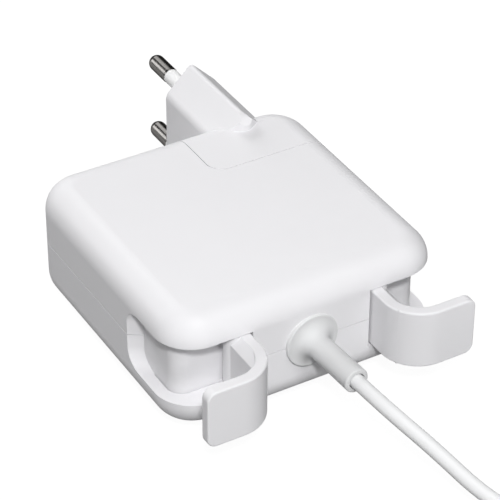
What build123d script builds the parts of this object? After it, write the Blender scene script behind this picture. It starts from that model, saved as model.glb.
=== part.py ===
"""Laptop power adapter with a removable mains plug block, two fold-out cable hooks and a
low-voltage cable.

Millimetres. The origin is the centre of the case's bottom face. +Z is up, +Y points from the
cable side to the plug side, and +X is to the right when the cable side faces the viewer.
"""
from build123d import *
from math import radians, sqrt, tan
import os

# Case: a square block with rounded corners and edges, split at mid height
CASE_SIZE = 66.0
CASE_HEIGHT = 28.5
CORNER_RADIUS = 9.0
EDGE_RADIUS = 6.3
WALL = 2.0
HALF = CASE_SIZE / 2
MID_Z = CASE_HEIGHT / 2
SEAM_Z = 14.6
SEAM_GAP = 0.2
SEAM_DEPTH = 0.5
PART_GAP = 0.05

# Duckhead: the removable block in the back right corner
BAY_X = 3.1
BAY_Y = 13.9
BAY_RADIUS = 3.75
BAY_GAP = 0.2
FAR = 100.0

# Hooks: the pivot is the barrel's centre, given for the right side and mirrored for the left
PIVOT_X = 17.25
PIVOT_Y = -30.45
BARREL_RADIUS = 2.5
HOOK_LOW = 7.75
HOOK_HIGH = 21.95
HOOK_CORNER = 9.0
HOOK_RIM = 2.65
HOOK_ARM = 4.45
HOOK_TIP_X = 32.5
HOOK_TIP_RADIUS = 2.2
HOOK_EDGE = 0.45
HINGE_PIN_RADIUS = 0.75
HINGE_CLEARANCE = 0.05
HINGE_PIN_LOW = 3.0
HINGE_PIN_HIGH = 25.6

# Recess that each hook folds into
SLOT_LOW = 7.3
SLOT_HIGH = 22.2
SLOT_EDGE_X = 14.3
SLOT_FRONT_Y = -27.6
SLOT_SIDE_X = 30.0
SLOT_WALL_RADIUS = 3.5
SLOT_END_INNER_Y = -14.1
SLOT_END_OUTER_Y = -12.2
SLOT_BACKING = 1.8
BEHIND_SLOT_EDGE = 2.3
BEHIND_SLOT_END = 2.7
SLOT_END_ROUND = 4.0
SLOT_JOINT = 0.2
SLOT_JOINT_DEPTH = 0.45
STEP_X = 19.35
STEP_DEPTH = 0.3

# Mains plug on the duckhead
PLUG_X = 17.8
PLUG_WIDTH = 13.6
PLUG_HEIGHT = 35.3
PLUG_FRONT_Y = 24.4
PLUG_END_Y = 51.7
PLUG_RIDGE_RADIUS = 1.1
PLUG_SIDE_RADIUS = 3.0
PLUG_WALL = 1.8
PIN_RADIUS = 2.0
PIN_LENGTH = 18.6
PIN_SPACING = 19.0
PIN_NECK_RADIUS = 1.5
PIN_ROOT_Y = 44.0
PIN_LEAD = 0.6
SLEEVE_RADIUS = 1.9
SLEEVE_LENGTH = 9.6
PINS_Z = 13.85
PIN_HEIGHTS = (PINS_Z - PIN_SPACING / 2, PINS_Z + PIN_SPACING / 2)
PLUG_END_ROUND = 0.5
WEDGE_HALF = 8.0
WEDGE_DEPTH = 5.2
WEDGE_NOSE = 3.0
PLUG_FRONT_ROUND = 3.2
PLUG_FRONT_STEP = 0.4

# Inlet between the case and the duckhead
INLET_X = 18.0
INLET_PITCH = 8.6
INLET_PIN_RADIUS = 1.18
INLET_RECESS_RADIUS = 4.0
INLET_BOSS_RADIUS = 3.7
INLET_FLOOR_Y = 5.2
INLET_BACK_Y = 1.8
INLET_PIN_TIP_Y = 12.9
INLET_PIN_ROUND = 0.8
INLET_SIDE_WALL = 1.2
INLET_TOP_WALL = 1.6
CONTACT_PLACES = (INLET_X - INLET_PITCH / 2, INLET_X + INLET_PITCH / 2)
CONTACT_BLIND = 3.0
CONTACT_CLEARANCE = 0.05
CONTACT_RADIUS = 1.6
CONTACT_FRONT_Y = 5.8
CONTACT_BACK_Y = 18.0
STUD_Y = 24.0
STUD_RADIUS = 2.0
STUD_HEAD_RADIUS = 3.7
STUD_HEAD = 1.2
STUD_HEAD_ROUND = 0.5
STUD_REACH = 4.8
STUD_FLANGE_RADIUS = 3.5
STUD_FLANGE = 0.8
STUD_PLAY = 0.3
RAIL_THICKNESS = 0.4
RAIL_HALF_HEIGHT = 6.0
RAIL_END_Y = 29.0
COVER_ROUND = 3.5
COVER_LIP = 0.1
COVER_NOTCH_X = 4.3
COVER_NOTCH_Z = 4.1
LINK_WIDTH = 2.0
LINK_THICKNESS = 0.6

# Electronics: an L-shaped board beside the bay; boxes are x, y and z limits
BOARD_LOW = 4.0
BOARD_HIGH = 5.2
BOARD_OUTLINE = [(-27.5, -25.2), (27.5, -25.2), (27.5, 10.8), (0.0, 10.8), (0.0, 29.0), (-27.5, 29.0)]
SHEET_GAP = 0.1
SHEET_THICKNESS = 0.25
POST_RADIUS = 2.0
POST_CLEARANCE = 0.2
POST_PLACES = [(-24.0, -15.0), (24.0, -15.0), (-24.0, 26.0), (-2.5, 26.0)]
CORE_BOX = (-12.0, 12.0, -16.4, 1.6, 8.0, 22.0)
CORE_YOKE = 3.0
CORE_LEG = 4.0
CORE_WINDOW = 8.8
BOBBIN_HALF = 8.4
BOBBIN_OVERHANG = 3.0
BOBBIN_FOOT = 2.8
BOBBIN_WALL = 0.6
WINDING_GAP = 0.05
WINDING_ROUND = 3.5
CAN_ROUND = 0.6
CAN_NECK_HEIGHT = 2.2
CAN_NECK_RADIUS = 0.6
CAN_NECK_OFFSET = 0.25
INPUT_CAN_RADIUS = 7.9
INPUT_CAN_LENGTH = 24.5
INPUT_CAN_END = (-28.5, 21.2, 13.5)
OUTPUT_CAN_RADIUS = 3.7
OUTPUT_CAN_LENGTH = 15.0
OUTPUT_CAN_PLACES = [(16.4, -20.9), (24.2, -20.9)]
FILTER_BOX = (-30.0, -22.0, -8.0, 9.4, BOARD_HIGH, 19.0)
FILTER_ROUND = 0.6
DISC_CENTRE = (-15.8, -16.0, 10.0)
DISC_RADIUS = 4.0
DISC_THICKNESS = 2.6
DISC_ROUND = 1.0
DISC_LEG_SPREAD = 2.0
DISC_LEG_RADIUS = 0.35
CHOKE_CENTRE = (14.6, -6.6, 13.4)
CHOKE_OUTER = 6.6
CHOKE_INNER = 3.6
CHOKE_WIDTH = 5.4
CHOKE_WIRE = 0.9
CHOKE_GAP_HALF = 2.2
CHOKE_COIL_HALF = 5.0
BRIDGE_BOX = (-20.0, -16.5, -8.0, 7.0, 7.0, 18.0)
BRIDGE_ROUND = 0.5
BRIDGE_LEG_RADIUS = 0.45
BRIDGE_LEG_PLACES = (-6.0, -2.0, 2.0, 6.0)
TRANSISTOR_BOX = (22.6, 26.9, -12.5, -2.5, 8.0, 19.0)
TRANSISTOR_LEG_PITCH = 2.54
TRANSISTOR_LEG_RADIUS = 0.4
RECTIFIER_BOX = (-26.0, -16.0, -25.4, -22.3, 8.0, 19.0)
PRIMARY_SPREADER_BOX = (26.95, 27.5, -13.5, 0.5, BOARD_HIGH, 22.0)
OUTPUT_SPREADER_BOX = (-27.0, -15.0, -22.2, -21.5, BOARD_HIGH, 22.0)
FUSE_START = (-26.5, 11.4, BOARD_HIGH + 1.8)
FUSE_LENGTH = 10.0
FUSE_RADIUS = 1.6
FUSE_CAP_RADIUS = 1.8
FUSE_CAP_LENGTH = 2.0
INPUT_LEAD_Y = 3.4
INPUT_LEAD_RADIUS = 0.6
OUTPUT_LEAD_X = 1.6
OUTPUT_LEAD_Y = -22.5
OUTPUT_LEAD_RADIUS = 0.7
OUTPUT_LEAD_BEND = 2.0
ANCHOR_HALF_WIDTH = 5.0
ANCHOR_HALF_HEIGHT = 4.6
ANCHOR_BACK_Y = -26.0
ANCHOR_ROUND = 1.5

# Cable and strain relief
CABLE_RADIUS = 1.65
CABLE_Z = SEAM_Z
FLANGE_RADIUS = 6.4
FLANGE_THICKNESS = 0.6
FLANGE_ROUND = 0.35
FLANGE_ROOT = 1.5
FLANGE_NECK_RADIUS = 3.7
BOOT_LENGTH = 16.6
BOOT_LEAN = 3.0
BOOT_RECESS = 1.0
BOOT_WAIST = 2.75
BOOT_BELL = 2.9
BOOT_RIM = 2.85
BOOT_NOSE = 0.4
BOOT_CABLE_GAP = 0.25
STAND_Z = MID_Z - PLUG_HEIGHT / 2
FLOOR_LINE_Z = STAND_Z + CABLE_RADIUS

# Coil of the put-away cable and the connector at its end
COIL_X = 49.0
COIL_Y = -86.0
COIL_RADIUS = 18.5
COIL_LAYERS = 4
COIL_SECTION = COIL_LAYERS * 2 * CABLE_RADIUS
OUTER_TURN = COIL_RADIUS + COIL_SECTION / 2 - CABLE_RADIUS
TIE_THICKNESS = 0.6
TIE_SPAN = 14.0
TIE_HEADING = 300.0
COIL_LOW = STAND_Z + TIE_THICKNESS
BOTTOM_TURN_Z = COIL_LOW + CABLE_RADIUS
TOP_TURN_Z = COIL_LOW + COIL_SECTION - CABLE_RADIUS
GRIP_RADIUS = 4.4
GRIP_START_Y = -52.0
GRIP_LENGTH = 24.0
GRIP_TAIL_RADIUS = 2.3
GRIP_TAPER_RADIUS = 3.3
GRIP_TAPER_LENGTH = 9.0
GRIP_SHOULDER = 10.5
GRIP_CHAMFER = 1.0
BARREL_PLUG_RADIUS = 2.75
BARREL_PLUG_LENGTH = 9.5
INSULATOR_RADIUS = 2.15
CONTACT_TUBE_RADIUS = 1.45
BARREL_PLUG_BORE = 1.05
BARREL_PLUG_SET_BACK = 0.5

# Hand-chosen points of the cable from the strain relief to the coil
LEAD_ROUTE = [
    (0.82, -48.58, 14.6),
    (1.7, -59.5, 14.1),
    (6.4, -70.0, 9.4),
    (12.0, -82.0, 2.4),
    (20.0, -91.5, FLOOR_LINE_Z),
    (28.5, -98.7, BOTTOM_TURN_Z),
]
# and from the coil's top turn to the connector
TAIL_ROUTE = [
    (COIL_X + OUTER_TURN, -86.0, TOP_TURN_Z),
    (COIL_X + OUTER_TURN, -76.5, TOP_TURN_Z),
    (COIL_X + OUTER_TURN, -62.0, STAND_Z + GRIP_RADIUS),
    (COIL_X + OUTER_TURN, GRIP_START_Y, STAND_Z + GRIP_RADIUS),
]


def block(x_low, x_high, y_low, y_high, z_low, z_high):
    """A box given by its limits."""
    size = (x_high - x_low, y_high - y_low, z_high - z_low)
    centre = ((x_low + x_high) / 2, (y_low + y_high) / 2, (z_low + z_high) / 2)
    return Pos(*centre) * Box(*size)


def rod(x, y, z, radius, length, direction):
    """A cylinder whose near end is centred on x, y, z."""
    return extrude(Plane((x, y, z), z_dir=direction) * Circle(radius), length)


def rod_y(x, z, radius, y_low, y_high):
    return rod(x, y_low, z, radius, y_high - y_low, (0, 1, 0))


def rod_z(x, y, radius, z_low, z_high):
    return rod(x, y, z_low, radius, z_high - z_low, (0, 0, 1))


def rounded_case(inset):
    """The case's outer form, drawn in by an even amount all round."""
    plan = RectangleRounded(CASE_SIZE - 2 * inset, CASE_SIZE - 2 * inset, CORNER_RADIUS - inset)
    solid = Pos(0, 0, inset) * extrude(plan, CASE_HEIGHT - 2 * inset)
    rims = solid.edges().group_by(Axis.Z)
    return fillet(rims[0] + rims[-1], EDGE_RADIUS - inset)


def bay_plan(grow):
    """Plan of the corner that the duckhead fills; it runs out past the case."""
    side = FAR + 2 * grow
    centre = Pos(BAY_X + FAR / 2, BAY_Y + FAR / 2)
    return centre * RectangleRounded(side, side, BAY_RADIUS + grow)


def slot_plan():
    """Plan of the right hook's recess, with a slanted finger scoop at its end."""
    corner = FAR / 2
    outline = Polyline(
        (SLOT_EDGE_X, -corner),
        (SLOT_EDGE_X, SLOT_FRONT_Y),
        (SLOT_SIDE_X, SLOT_FRONT_Y),
        (SLOT_SIDE_X, SLOT_END_INNER_Y),
        (HALF, SLOT_END_OUTER_Y),
        (corner, SLOT_END_OUTER_Y),
        (corner, -corner),
        close=True,
    )
    face = make_face(outline)
    wall_corner = face.vertices().sort_by_distance((SLOT_SIDE_X, SLOT_FRONT_Y))[0]
    return fillet(wall_corner, SLOT_WALL_RADIUS)


def both_sides(shape):
    """A shape and its mirror image across the YZ plane."""
    return shape + mirror(shape, Plane.YZ)


def joint_line():
    """Fine groove in the recess's floor, along its back wall."""
    plan = slot_plan()
    line = plan - offset(plan, -SLOT_JOINT)
    length = HALF + SLOT_END_INNER_Y - SLOT_END_ROUND
    room = Pos(HALF, -HALF) * Rectangle(2 * (HALF - SLOT_EDGE_X), 2 * length)
    return Pos(0, 0, SLOT_LOW - SLOT_JOINT_DEPTH) * extrude(line & room, SLOT_JOINT_DEPTH)


def slot_cutters():
    """Both recesses, each rounded at its end and a little deeper behind the hook's barrel."""
    cutter = Pos(0, 0, SLOT_LOW) * extrude(slot_plan(), SLOT_HIGH - SLOT_LOW)
    end_edges = cutter.edges().filter_by(lambda edge: edge.center().Y > SLOT_END_INNER_Y)
    level_edges = end_edges.filter_by(Axis.Z, reverse=True)
    cutter = fillet(level_edges, SLOT_END_ROUND)
    step = block(SLOT_EDGE_X, STEP_X, -HALF, SLOT_FRONT_Y + STEP_DEPTH, SLOT_LOW, SLOT_HIGH)
    return both_sides(cutter + step + joint_line())


def seam_groove():
    """Shallow groove where the two shells meet, round the case and across the recesses' ends."""
    size = CASE_SIZE - 2 * SEAM_DEPTH
    inner = RectangleRounded(size, size, CORNER_RADIUS - SEAM_DEPTH)
    across_end = Pos(0, SEAM_DEPTH) * slot_plan()
    across_end = across_end & Pos(HALF, 0) * Rectangle(2 * (HALF - SLOT_SIDE_X), -2 * SLOT_END_INNER_Y)
    inner = inner - across_end - mirror(across_end, Plane.YZ)
    band = Rectangle(2 * CASE_SIZE, 2 * CASE_SIZE) - inner
    return Pos(0, 0, SEAM_Z - SEAM_GAP / 2) * extrude(band, SEAM_GAP)


def case_cavity():
    """Space inside the shells, clear of the bay and of both recesses."""
    cavity = rounded_case(WALL)
    cavity = cavity - extrude(bay_plan(WALL + BAY_GAP), FAR)
    front = block(
        SLOT_EDGE_X - BEHIND_SLOT_EDGE, HALF, -HALF, SLOT_FRONT_Y + SLOT_BACKING, 0, CASE_HEIGHT)
    side = block(
        SLOT_SIDE_X - SLOT_BACKING, HALF, -HALF, SLOT_END_OUTER_Y + BEHIND_SLOT_END, 0, CASE_HEIGHT)
    return cavity - both_sides(front + side)


def inlet_outline(radius, y_low, y_high):
    """Two round holes' worth of outline, joined straight, run along Y."""
    ends = [rod_y(INLET_X + side * INLET_PITCH / 2, MID_Z, radius, y_low, y_high) for side in (-1, 1)]
    middle = block(
        INLET_X - INLET_PITCH / 2, INLET_X + INLET_PITCH / 2,
        y_low, y_high, MID_Z - radius, MID_Z + radius,
    )
    return ends[0] + ends[1] + middle


def inlet_body():
    """Outline of the inlet moulding that stands in the bay wall."""
    half_width = INLET_PITCH / 2 + INLET_RECESS_RADIUS + INLET_SIDE_WALL
    half_height = INLET_RECESS_RADIUS + INLET_TOP_WALL
    return block(
        INLET_X - half_width, INLET_X + half_width,
        INLET_BACK_Y, BAY_Y - BAY_GAP, MID_Z - half_height, MID_Z + half_height,
    )


def case_shells():
    """Top and bottom shells, before they are split."""
    shell = rounded_case(0) - extrude(bay_plan(BAY_GAP), FAR) - slot_cutters() - case_cavity()
    shell = shell - seam_groove() - inlet_body()
    shell = shell - rod_y(0, CABLE_Z, FLANGE_NECK_RADIUS, -HALF, -HALF + WALL)
    shell = shell - rod(BAY_X - 2 * WALL, STUD_Y, MID_Z, STUD_RADIUS, 2 * WALL, (1, 0, 0))
    bore = rod_z(PIVOT_X, PIVOT_Y, HINGE_PIN_RADIUS, HINGE_PIN_LOW, HINGE_PIN_HIGH)
    return shell - both_sides(bore)


def board_posts():
    """Four posts on the bottom shell's floor that carry the board."""
    posts = [rod_z(x, y, POST_RADIUS, WALL, BOARD_LOW) for x, y in POST_PLACES]
    return posts[0] + posts[1:]


def bottom_shell():
    lower = block(-HALF, HALF, -HALF, HALF, 0, SEAM_Z)
    return case_shells() & lower


def top_shell():
    upper = block(-HALF, HALF, -HALF, HALF, SEAM_Z, CASE_HEIGHT)
    return case_shells() & upper


def hook_rim_plan():
    """Open hook seen from above: an even band out from the barrel, round and sideways."""
    outer_x = PIVOT_X - BARREL_RADIUS
    end_y = PIVOT_Y - (HALF - PIVOT_X)
    turn_y = end_y + HOOK_CORNER
    centre_x = outer_x + HOOK_CORNER
    inner = HOOK_CORNER - HOOK_RIM
    lead_in = Line((outer_x, PIVOT_Y), (outer_x, turn_y))
    outer_turn = RadiusArc(lead_in @ 1, (centre_x, end_y), -HOOK_CORNER)
    outer_leg = Line(outer_turn @ 1, (HOOK_TIP_X, end_y))
    tip = Line(outer_leg @ 1, (HOOK_TIP_X, end_y + HOOK_RIM))
    inner_leg = Line(tip @ 1, (centre_x, end_y + HOOK_RIM))
    inner_turn = RadiusArc(inner_leg @ 1, (outer_x + HOOK_RIM, turn_y), inner)
    lead_out = Line(inner_turn @ 1, (outer_x + HOOK_RIM, PIVOT_Y))
    closing = Line(lead_out @ 1, lead_in @ 0)
    return make_face([lead_in, outer_turn, outer_leg, tip, inner_leg, inner_turn, lead_out, closing])


def hook_arm():
    """Thicker inner part of the arm, with wide bevels along its top and bottom."""
    rim_x = PIVOT_X - BARREL_RADIUS + HOOK_RIM
    face_x = PIVOT_X - BARREL_RADIUS + HOOK_ARM
    bevel = face_x - rim_x + HOOK_EDGE / 2
    end_y = PIVOT_Y - (HALF - PIVOT_X) + HOOK_RIM + 1.9
    outline = Polyline(
        (rim_x - 1.5, HOOK_LOW),
        (rim_x - HOOK_EDGE / 2, HOOK_LOW),
        (face_x, HOOK_LOW + bevel),
        (face_x, HOOK_HIGH - bevel),
        (rim_x - HOOK_EDGE / 2, HOOK_HIGH),
        (rim_x - 1.5, HOOK_HIGH),
        close=True,
    )
    section = Plane.XZ * make_face(outline)
    return Pos(0, PIVOT_Y, 0) * extrude(section, PIVOT_Y - end_y)


def right_hook():
    rim = Pos(0, 0, HOOK_LOW) * extrude(hook_rim_plan(), HOOK_HIGH - HOOK_LOW)
    across_tip = rim.edges().filter_by(Axis.Y).filter_by(lambda edge: edge.center().X > HOOK_TIP_X - 1)
    rim = fillet(across_tip, HOOK_TIP_RADIUS)
    tip_sides = rim.edges().filter_by(Axis.Z).filter_by(lambda edge: edge.center().X > HOOK_TIP_X - 1)
    rim = fillet(tip_sides, HOOK_EDGE)
    barrel = rod_z(PIVOT_X, PIVOT_Y, BARREL_RADIUS, HOOK_LOW, HOOK_HIGH)
    bore = rod_z(PIVOT_X, PIVOT_Y, HINGE_PIN_RADIUS + HINGE_CLEARANCE, HOOK_LOW - 1, HOOK_HIGH + 1)
    return rim + hook_arm() + barrel - bore


def right_hinge_pin():
    return rod_z(PIVOT_X, PIVOT_Y, HINGE_PIN_RADIUS, HINGE_PIN_LOW, HINGE_PIN_HIGH)


def plug_section(inset):
    """Elongated hexagon of the mains plug, seen along Y."""
    half_width = PLUG_WIDTH / 2 - inset
    rounding = PLUG_RIDGE_RADIUS * (sqrt(2) - 1)
    ridge = PLUG_HEIGHT / 2 + rounding - inset * sqrt(2)
    side = ridge - half_width
    outline = Polyline(
        (PLUG_X, MID_Z + ridge),
        (PLUG_X + half_width, MID_Z + side),
        (PLUG_X + half_width, MID_Z - side),
        (PLUG_X, MID_Z - ridge),
        (PLUG_X - half_width, MID_Z - side),
        (PLUG_X - half_width, MID_Z + side),
        close=True,
    )
    face = make_face(outline)
    ridges = face.vertices().sort_by_distance((PLUG_X, MID_Z))[-2:]
    face = fillet(ridges, PLUG_RIDGE_RADIUS)
    sides = [vertex for vertex in face.vertices() if abs(vertex.X - PLUG_X) > half_width - 0.01]
    return fillet(sides, PLUG_SIDE_RADIUS)


def along_y(section, y_low, y_high):
    """Extrude a section drawn in X and Z along +Y."""
    plane = Plane((0, y_low, 0), x_dir=(1, 0, 0), z_dir=(0, -1, 0))
    return extrude(plane * section, -(y_high - y_low))


def plug_body():
    """Mains plug body, with a wedge-shaped front that grows out of the duckhead's top."""
    body = along_y(plug_section(0), PLUG_FRONT_Y, PLUG_END_Y)
    body = fillet(body.edges().group_by(Axis.Y)[-1], PLUG_END_ROUND)
    wedge = make_face(Polyline(
        (PLUG_X, PLUG_FRONT_Y),
        (PLUG_X + WEDGE_HALF, PLUG_FRONT_Y + WEDGE_DEPTH),
        (PLUG_X + WEDGE_HALF, PLUG_END_Y + 1),
        (PLUG_X - WEDGE_HALF, PLUG_END_Y + 1),
        (PLUG_X - WEDGE_HALF, PLUG_FRONT_Y + WEDGE_DEPTH),
        close=True,
    ))
    wedge = fillet(wedge.vertices().sort_by(Axis.Y)[0], WEDGE_NOSE)
    wedge = Pos(0, 0, STAND_Z - 1) * extrude(wedge, PLUG_HEIGHT + 2)
    side = RectangleRounded(FAR, PLUG_HEIGHT, PLUG_FRONT_ROUND)
    side = Pos(PLUG_FRONT_Y + PLUG_FRONT_STEP + FAR / 2, MID_Z) * side
    side = extrude(Plane.YZ * side, FAR)
    return body & wedge & side


def stud_slot(radius, x_low, x_high):
    """Slot that the stud's shank slides along, open towards -Y."""
    end = rod(x_low, STUD_Y, MID_Z, radius, x_high - x_low, (1, 0, 0))
    run = block(x_low, x_high, BAY_Y - 1, STUD_Y, MID_Z - radius, MID_Z + radius)
    return end + run


def cover_plate(grow):
    """Plate that closes the duckhead's inner side."""
    width = HALF - BAY_X - 2 * WALL - grow
    centre_x = (BAY_X + HALF) / 2
    outline = Pos(centre_x, MID_Z) * RectangleRounded(width, CASE_HEIGHT - 2 * WALL - grow, COVER_ROUND)
    return along_y(outline, BAY_Y - COVER_LIP, BAY_Y + WALL)


def duckhead_form():
    return rounded_case(0) & extrude(bay_plan(0), FAR)


def duckhead_shell():
    cavity = rounded_case(WALL) & extrude(bay_plan(-WALL), FAR)
    plug_cavity = along_y(plug_section(PLUG_WALL), HALF - 2 * WALL, PLUG_END_Y - PLUG_WALL)
    shell = duckhead_form() + plug_body() - cavity - plug_cavity - cover_plate(0)
    shell = shell - stud_slot(STUD_RADIUS + STUD_PLAY, BAY_X - 1, BAY_X + WALL)
    shell = shell - block(
        BAY_X + WALL, BAY_X + COVER_NOTCH_X,
        BAY_Y - 1, STUD_Y, MID_Z - COVER_NOTCH_Z, MID_Z + COVER_NOTCH_Z,
    )
    for pin_z in PIN_HEIGHTS:
        shell = shell - rod_y(PLUG_X, pin_z, SLEEVE_RADIUS, PLUG_END_Y - 2 * PLUG_WALL, PLUG_END_Y + 1)
    return shell


def duckhead_cover():
    cover = cover_plate(2 * PART_GAP) & duckhead_form()
    cover = cover + inlet_outline(INLET_BOSS_RADIUS, CONTACT_FRONT_Y - COVER_LIP, BAY_Y + WALL / 2)
    cover = cover - block(
        BAY_X, BAY_X + COVER_NOTCH_X,
        BAY_Y - 1, BAY_Y + WALL + 1, MID_Z - COVER_NOTCH_Z, MID_Z + COVER_NOTCH_Z,
    )
    for contact_x in CONTACT_PLACES:
        cover = cover - rod_y(contact_x, MID_Z, CONTACT_RADIUS, CONTACT_FRONT_Y - 1, BAY_Y + WALL + 1)
    return cover


def stud_rail():
    """Steel plate inside the duckhead that the stud's head slides behind."""
    plate_x = BAY_X + WALL
    plate = block(
        plate_x, plate_x + RAIL_THICKNESS, BAY_Y + BAY_RADIUS + PART_GAP, RAIL_END_Y,
        MID_Z - RAIL_HALF_HEIGHT, MID_Z + RAIL_HALF_HEIGHT,
    )
    return plate - stud_slot(STUD_RADIUS + STUD_PLAY, plate_x - 1, plate_x + 1)


def mains_pin(pin_z):
    """Round-ended pin, thinner inside its sleeve, with a short taper where it comes out."""
    sleeve_end = PLUG_END_Y + SLEEVE_LENGTH
    tip_y = PLUG_END_Y + PIN_LENGTH - PIN_RADIUS
    profile = make_face(Polyline(
        (0, PIN_ROOT_Y),
        (PIN_NECK_RADIUS, PIN_ROOT_Y),
        (PIN_NECK_RADIUS, sleeve_end),
        (SLEEVE_RADIUS, sleeve_end),
        (PIN_RADIUS, sleeve_end + PIN_LEAD),
        (PIN_RADIUS, tip_y),
        (0, tip_y),
        close=True,
    ))
    return Pos(PLUG_X, 0, pin_z) * (revolve(profile, Axis.Y) + Pos(0, tip_y, 0) * Sphere(PIN_RADIUS))


def pin_sleeve(pin_z):
    low, high = PLUG_END_Y - PLUG_WALL, PLUG_END_Y + SLEEVE_LENGTH
    outer = rod_y(PLUG_X, pin_z, SLEEVE_RADIUS, low, high)
    return outer - rod_y(PLUG_X, pin_z, PIN_NECK_RADIUS, low - 1, high + 1)


def socket_contacts():
    sleeves = []
    for contact_x in CONTACT_PLACES:
        outer = rod_y(contact_x, MID_Z, CONTACT_RADIUS, CONTACT_FRONT_Y, CONTACT_BACK_Y)
        bore = rod_y(
            contact_x, MID_Z, INLET_PIN_RADIUS + CONTACT_CLEARANCE,
            CONTACT_FRONT_Y - 1, CONTACT_BACK_Y - CONTACT_BLIND,
        )
        sleeves.append(outer - bore)
    return Compound(sleeves)


def plug_link(side):
    """Brass strip from one socket contact to one plug pin; side is +1 for the upper pin."""
    half = LINK_WIDTH / 2
    contact_x = INLET_X + side * INLET_PITCH / 2
    pin_z = PINS_Z + side * PIN_SPACING / 2
    low, high = sorted((MID_Z - side * half, pin_z + side * half))
    left, right = sorted((contact_x + side * half, PLUG_X - side * half))
    front, back = CONTACT_BACK_Y, CONTACT_BACK_Y + LINK_THICKNESS
    upright = block(contact_x - half, contact_x + half, front, back, low, high)
    across = block(left, right, front, back, pin_z - half, pin_z + half)
    z_low, z_high = pin_z - LINK_THICKNESS / 2, pin_z + LINK_THICKNESS / 2
    run = block(PLUG_X - half, PLUG_X + half, front, PIN_ROOT_Y, z_low, z_high)
    return upright + across + run


def inlet_block():
    body = inlet_body() - inlet_outline(INLET_RECESS_RADIUS, INLET_FLOOR_Y, BAY_Y)
    for contact_x in CONTACT_PLACES:
        body = body - rod_y(contact_x, MID_Z, INLET_PIN_RADIUS, INLET_BACK_Y - 1, BAY_Y)
    return body


def inlet_pins():
    pins = []
    for contact_x in CONTACT_PLACES:
        pin = rod_y(contact_x, MID_Z, INLET_PIN_RADIUS, INLET_BACK_Y, INLET_PIN_TIP_Y)
        pins.append(fillet(pin.edges().sort_by(Axis.Y)[-1], INLET_PIN_ROUND))
    return Compound(pins)


def retention_stud():
    """Flanged steel stud that stands out of the bay wall; its head holds the duckhead."""
    wall_x = BAY_X - BAY_GAP - WALL
    along_x = (1, 0, 0)
    flange = rod(wall_x - STUD_FLANGE, STUD_Y, MID_Z, STUD_FLANGE_RADIUS, STUD_FLANGE, along_x)
    shank = rod(wall_x, STUD_Y, MID_Z, STUD_RADIUS, STUD_REACH, along_x)
    head = rod(wall_x + STUD_REACH, STUD_Y, MID_Z, STUD_HEAD_RADIUS, STUD_HEAD, along_x)
    return flange + shank + fillet(head.edges().sort_by(Axis.X)[-1], STUD_HEAD_ROUND)


def board_outline():
    """L-shaped plan that fills the case beside the bay."""
    return make_face(Polyline(*BOARD_OUTLINE, close=True))


def circuit_board():
    return Pos(0, 0, BOARD_LOW) * extrude(board_outline(), BOARD_HIGH - BOARD_LOW)


def board_insulator():
    """Thin sheet on the case's floor, trimmed to the cavity, with holes for the posts."""
    sheet = Pos(0, 0, WALL + SHEET_GAP) * extrude(board_outline(), SHEET_THICKNESS)
    sheet = sheet & rounded_case(WALL + SHEET_GAP)
    for x, y in POST_PLACES:
        sheet = sheet - rod_z(x, y, POST_RADIUS + POST_CLEARANCE, 0, BOARD_LOW)
    return sheet


def around_leg(grow, z_low, z_high):
    """Box round the core's centre leg, grown by an even amount in X and Y."""
    return block(
        -CORE_LEG - grow, CORE_LEG + grow, CORE_BOX[2] - grow, CORE_BOX[3] + grow, z_low, z_high)


def transformer_core():
    """Ferrite frame with a centre leg between its two windows."""
    core = block(*CORE_BOX)
    window_low, window_high = CORE_BOX[4] + CORE_YOKE, CORE_BOX[5] - CORE_YOKE
    for low, high in ((-CORE_WINDOW, -CORE_LEG), (CORE_LEG, CORE_WINDOW)):
        core = core - block(low, high, CORE_BOX[2] - 1, CORE_BOX[3] + 1, window_low, window_high)
    return core


def transformer_bobbin():
    """Moulded former: two flanges round the centre leg and two feet on the board."""
    y_low, y_high = CORE_BOX[2] - BOBBIN_OVERHANG, CORE_BOX[3] + BOBBIN_OVERHANG
    low, high = CORE_BOX[4] + CORE_YOKE + SHEET_GAP, CORE_BOX[5] - CORE_YOKE - SHEET_GAP
    bobbin = around_leg(SHEET_GAP + BOBBIN_WALL, low, high)
    for z in (low, high - BOBBIN_WALL):
        bobbin = bobbin + block(-BOBBIN_HALF, BOBBIN_HALF, y_low, y_high, z, z + BOBBIN_WALL)
    for y in (y_low, y_high - BOBBIN_FOOT):
        bobbin = bobbin + block(-BOBBIN_HALF, BOBBIN_HALF, y, y + BOBBIN_FOOT, BOARD_HIGH, low)
    return bobbin - around_leg(SHEET_GAP, CORE_BOX[4], CORE_BOX[5])


def transformer_winding():
    low = CORE_BOX[4] + CORE_YOKE + SHEET_GAP + BOBBIN_WALL + WINDING_GAP
    high = CORE_BOX[5] - CORE_YOKE - SHEET_GAP - BOBBIN_WALL - WINDING_GAP
    depth = CORE_BOX[3] - CORE_BOX[2] + 2 * BOBBIN_OVERHANG - 1
    outline = RectangleRounded(2 * BOBBIN_HALF - 2 * SHEET_GAP, depth, WINDING_ROUND)
    winding = Pos(0, (CORE_BOX[2] + CORE_BOX[3]) / 2, low) * extrude(outline, high - low)
    return winding - around_leg(SHEET_GAP + BOBBIN_WALL + WINDING_GAP, low, high)


def can_capacitor(radius, length):
    """Round can with the rolled neck near its sealed end; stands on its seal."""
    can = Cylinder(radius, length, align=(Align.CENTER, Align.CENTER, Align.MIN))
    can = fillet(can.edges().sort_by(Axis.Z)[-1], CAN_ROUND)
    neck = Pos(0, 0, CAN_NECK_HEIGHT) * Torus(radius + CAN_NECK_OFFSET, CAN_NECK_RADIUS)
    return can - neck


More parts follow.
